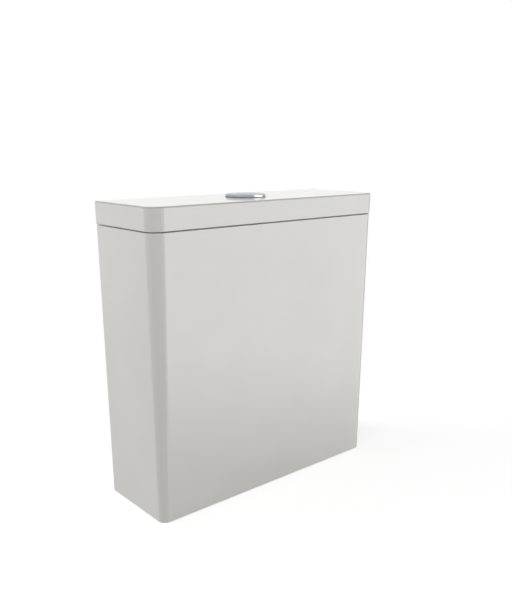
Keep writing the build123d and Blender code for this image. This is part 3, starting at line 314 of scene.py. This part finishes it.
def sink_wall(piece, x, crest, root, low, high):
    """Turns the plain round wall between two heights down from the crest to the root radius."""
    only(piece)
    bpy.ops.object.mode_set(mode="EDIT")
    for height in (low, high):
        bpy.ops.mesh.select_all(action="SELECT")
        bpy.ops.mesh.bisect(plane_co=(0, 0, height * MM), plane_no=(0, 0, 1))
    bpy.ops.mesh.select_all(action="DESELECT")
    bpy.ops.object.mode_set(mode="OBJECT")
    for face in piece.data.polygons:
        reach = math.hypot(face.center.x - x * MM, face.center.y)
        outward = (face.center.x - x * MM) * face.normal.x + face.center.y * face.normal.y
        inside = low * MM < face.center.z < high * MM
        face.select = inside and abs(reach - crest * MM) < 0.02 * crest * MM and outward > 0.9 * reach
    bpy.ops.object.mode_set(mode="EDIT")
    bpy.ops.mesh.delete(type="FACE")
    bpy.ops.mesh.select_mode(type="EDGE")
    bpy.ops.mesh.select_non_manifold(extend=False, use_wire=False, use_boundary=True,
                                     use_multi_face=False, use_non_contiguous=False, use_verts=False)
    bpy.ops.mesh.extrude_edges_move()
    share = root / crest
    bpy.ops.transform.resize(value=(share, share, 1), center_override=(x * MM, 0, 0))
    bpy.ops.mesh.bridge_edge_loops()
    bpy.ops.object.mode_set(mode="OBJECT")


def thread_ridge(x, crest, root, pitch, low, high, steps):
    """The helical ridge of a thread: a low trapezium wound round the axis, closed at both ends."""
    bpy.ops.object.select_all(action="DESELECT")
    bpy.ops.mesh.primitive_plane_add(size=MM)
    ridge = bpy.context.object
    sunk = root - 0.2 * (crest - root)
    outline = ((sunk, 0.08), (crest, 0.43), (sunk, 0.92), (crest, 0.57))
    for spot, (radius, rise) in zip(ridge.data.vertices, outline):
        spot.co = (radius * MM, 0, rise * pitch * MM)
    bpy.ops.object.mode_set(mode="EDIT")
    bpy.ops.mesh.select_all(action="SELECT")
    bpy.ops.mesh.delete(type="ONLY_FACE")
    bpy.ops.object.mode_set(mode="OBJECT")
    winding = ridge.modifiers.new("winding", "SCREW")
    winding.screw_offset = pitch * MM
    winding.iterations = int((high - low) / pitch)
    winding.steps = winding.render_steps = steps
    bpy.ops.object.modifier_apply(modifier="winding")
    bpy.ops.object.mode_set(mode="EDIT")
    bpy.ops.mesh.select_all(action="SELECT")
    bpy.ops.mesh.remove_doubles(threshold=0.002 * MM)
    bpy.ops.mesh.fill_holes(sides=4)
    bpy.ops.mesh.select_all(action="SELECT")
    bpy.ops.mesh.normals_make_consistent(inside=False)
    bpy.ops.transform.translate(value=(x * MM, 0, low * MM))
    bpy.ops.object.mode_set(mode="OBJECT")
    return ridge


def threaded(node, body, steps, threads):
    """A node with real threads; each is its axis' x, crest and root radii, pitch, and two heights.

    steps is the number of straight runs in one turn.
    """
    piece = welded_copy(node, node + "_threaded")
    for x, crest, root, pitch, low, high in threads:
        sink_wall(piece, x, crest, root, low, high)
        ridge = thread_ridge(x, crest, root, pitch, low, high, steps)
        only(piece, ridge)
        bpy.ops.object.join()
    only(piece)
    bpy.ops.object.shade_smooth_by_angle(angle=math.radians(32))
    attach(piece, body)
    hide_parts(node)


rod_low, rod_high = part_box("adjusting_rod")
rod_thread = ((rod_low.x + rod_high.x) / 2 / MM, 2.0, 1.6, 0.7,
              rod_low.z / MM + 0.5, rod_high.z / MM - 0.5)
threaded("flush_valve_base", "tank", 48, [(0, 29.8, 28.5, 2.309, 23.0, 57.0)])
threaded("inlet_shank", "tank", 32, [(140, 10.48, 9.5, 1.814, 10.0, 58.0)])
threaded("blanking_plug", "tank", 32, [(-140, 10.48, 9.5, 1.814, 10.0, 58.0)])
threaded("fixing_bolts", "tank", 24, [
    (x, 4.0, 3.3, 1.25, 5.2, 56.0) for x in (-75, 75)])
threaded("button_bezel", "lid", 48, [(0, 22.3, 21.6, 2.0, 353.0, 391.0)])
threaded("adjusting_rod", "float", 20, [rod_thread])

# The two return springs stand on the bezel's shelf; each is replaced by a welded, smooth-shaded copy
# that rides with the lid.
for side in ("full", "half"):
    low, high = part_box(side + "_button_spring")
    coil = welded_copy(side + "_button_spring", side + "_return_coil")
    bpy.ops.object.shade_smooth_by_angle(angle=math.radians(60))
    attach(coil, "lid")
    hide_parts(side + "_button_spring")
    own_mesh(coil)


# Floor, backdrop, lights and camera

def camera_only(tree, looks, lights):
    """looks where the camera, a reflection or glass sees it, and lights for all other rays."""
    path = add(tree, "ShaderNodeLightPath").outputs
    seen = figure(tree, "MAXIMUM", path["Is Camera Ray"], path["Is Glossy Ray"])
    seen = figure(tree, "MAXIMUM", seen, path["Is Transmission Ray"])
    return add(tree, "ShaderNodeMixShader", inputs={0: seen, 1: lights, 2: looks}).outputs[0]


def in_patch(tree, spot, middle, sides, corner):
    """1 in a round-cornered patch, given its middle, straight half sides and corner radius, else 0."""
    beyond = spot
    steps = (("SUBTRACT", middle), ("ABSOLUTE",), ("SUBTRACT", sides), ("MAXIMUM", (0, 0, 0)))
    for step, *value in steps:
        beyond = add(tree, "ShaderNodeVectorMath", {"operation": step},
                     dict(enumerate([beyond, *value]))).outputs[0]
    beyond = add(tree, "ShaderNodeVectorMath", {"operation": "LENGTH"}, {0: beyond}).outputs["Value"]
    return figure(tree, "LESS_THAN", beyond, corner)


def white(tree, kind, strength):
    """A white background or glow of a strength."""
    return add(tree, kind, inputs={"Color": (1, 1, 1, 1), "Strength": strength}).outputs[0]


world = bpy.data.worlds.new("studio")
bpy.context.scene.world = world
world.use_nodes = True
sky = world.node_tree
sky.nodes.clear()

# Reflections also show a tall soft screen that stands on the right. Each edge is soft: hidden at the
# first angle and full at the second, in degrees. Turn is 0 in front and 90 on the right.
SCREEN_STRENGTH = 2.7
SCREEN_TURNS = ((28.0, 33.0), (84.0, 70.0))
SCREEN_RISES = ((-28.0, -18.0), (40.0, 25.0))

way = parts_of(sky, add(sky, "ShaderNodeTexCoord").outputs["Generated"])
turn = figure(sky, "ARCTAN2", way["X"], figure(sky, "MULTIPLY", way["Y"], -1.0))
edges = [(turn, *(math.radians(angle) for angle in edge)) for edge in SCREEN_TURNS]
edges += [(way["Z"], *(math.sin(math.radians(angle)) for angle in edge)) for edge in SCREEN_RISES]
screen = add(sky, "ShaderNodeLightPath").outputs["Is Glossy Ray"]
for place, hidden, full in edges:
    low, high = (0.0, 1.0) if hidden < full else (1.0, 0.0)
    shown = spread(sky, place, low, high, min(hidden, full), max(hidden, full))
    screen = figure(sky, "MULTIPLY", screen, shown)
seen_sky = white(sky, "ShaderNodeBackground", figure(sky, "MULTIPLY_ADD", screen, SCREEN_STRENGTH, 1.0))
lit_sky = white(sky, "ShaderNodeBackground", 0.45)
add(sky, "ShaderNodeOutputWorld", inputs={"Surface": camera_only(sky, seen_sky, lit_sky)})

bpy.ops.object.select_all(action="DESELECT")
bpy.ops.mesh.primitive_circle_add(
    vertices=64, radius=9.0, fill_type="NGON", location=(0, 0, -0.3 * MM))
floor = bpy.context.object
floor.name = "floor"
floor.visible_glossy = False
paper = bpy.data.materials.new("white_paper_floor")
paper.use_nodes = True
tree = paper.node_tree
tree.nodes.clear()
matt = add(tree, "ShaderNodeBsdfDiffuse", inputs={"Color": linear("#F4F4F4")}).outputs[0]
bounce = add(tree, "ShaderNodeBsdfDiffuse", inputs={"Color": linear("#A6A6A6")}).outputs[0]

# White paper near the object, which keeps its shadow, and from 0.22 to 0.62 m a fade into the backdrop.
near = add(tree, "ShaderNodeAddShader", inputs={
    0: matt, 1: white(tree, "ShaderNodeEmission", 0.38)}).outputs[0]
spot = add(tree, "ShaderNodeTexCoord").outputs["Object"]
reach = add(tree, "ShaderNodeVectorMath", {"operation": "LENGTH"}, {0: spot}).outputs["Value"]
far = spread(tree, reach, 0.0, 1.0, 0.22, 0.62)
shown = add(tree, "ShaderNodeMixShader", inputs={
    0: far, 1: near, 2: white(tree, "ShaderNodeEmission", 1.0)}).outputs[0]

# Clear from below, and over the patch that the tank's foot hides, so that the underside can be seen
# and lit. The foot's corners are round in front and nearly square at the back.
clear_patch = figure(tree, "MAXIMUM",
                     in_patch(tree, spot, (0, 3.5 * MM, 0), (172 * MM, 51 * MM, 0), 9.3 * MM),
                     in_patch(tree, spot, (0, 32 * MM, 0), (179.3 * MM, 29.3 * MM, 0), 2 * MM))
under = add(tree, "ShaderNodeNewGeometry").outputs["Backfacing"]
open_floor = figure(tree, "MAXIMUM", under, clear_patch)
clear = add(tree, "ShaderNodeBsdfTransparent").outputs[0]
sheet = add(tree, "ShaderNodeMixShader",
            inputs={0: open_floor, 1: camera_only(tree, shown, bounce), 2: clear}).outputs[0]
add(tree, "ShaderNodeOutputMaterial", inputs={"Surface": sheet})
floor.data.materials.append(paper)


# In metres; the middle is the height of the point that the lamps look at
LAMP_SIDE = 0.8
LAMP_DISTANCE = 1.6
LAMP_MIDDLE = 0.2


def lamp(name, azimuth, elevation, power, shines=False):
    """A soft square lamp round the object's middle; azimuth 0 is in front and 90 on the right.

    Only a lamp that shines is mirrored in the glaze and the chrome; the others fill the shade.
    """
    light = bpy.data.lights.new(name, "AREA")
    light.shape, light.size, light.energy = "SQUARE", LAMP_SIDE, power
    thing = bpy.data.objects.new(name, light)
    bpy.context.scene.collection.objects.link(thing)
    turn, rise = math.radians(azimuth), math.radians(elevation)
    out = LAMP_DISTANCE * math.cos(rise)
    up = LAMP_MIDDLE + LAMP_DISTANCE * math.sin(rise)
    thing.location = (out * math.sin(turn), -out * math.cos(turn), up)
    thing.rotation_euler = (math.pi / 2 - rise, 0, turn)
    thing.visible_glossy = shines


lamp("front_right_key_lamp", 38, 35, 3.0, shines=True)
lamp("front_left_fill_lamp", -25, 35, 3.6)
lamp("left_fill_lamp", -60, 35, 2.5)
lamp("rear_left_fill_lamp", -135, 35, 8.0)
lamp("underside_fill_lamp", 20, -60, 4.0)

# Camera: from the front left, 40.473 degrees round and looking 12.664 degrees down
eye = bpy.data.cameras.new("camera")
eye.lens, eye.sensor_width, eye.sensor_fit = 42.027, 36.0, "AUTO"
camera = bpy.data.objects.new("camera", eye)
bpy.context.scene.collection.objects.link(camera)
camera.location = (-0.6151, -0.7428, 0.4610)
camera.rotation_euler = (math.radians(90 - 12.664), 0, -math.radians(40.473))
bpy.context.scene.camera = camera
bpy.context.scene.view_settings.view_transform = "Standard"
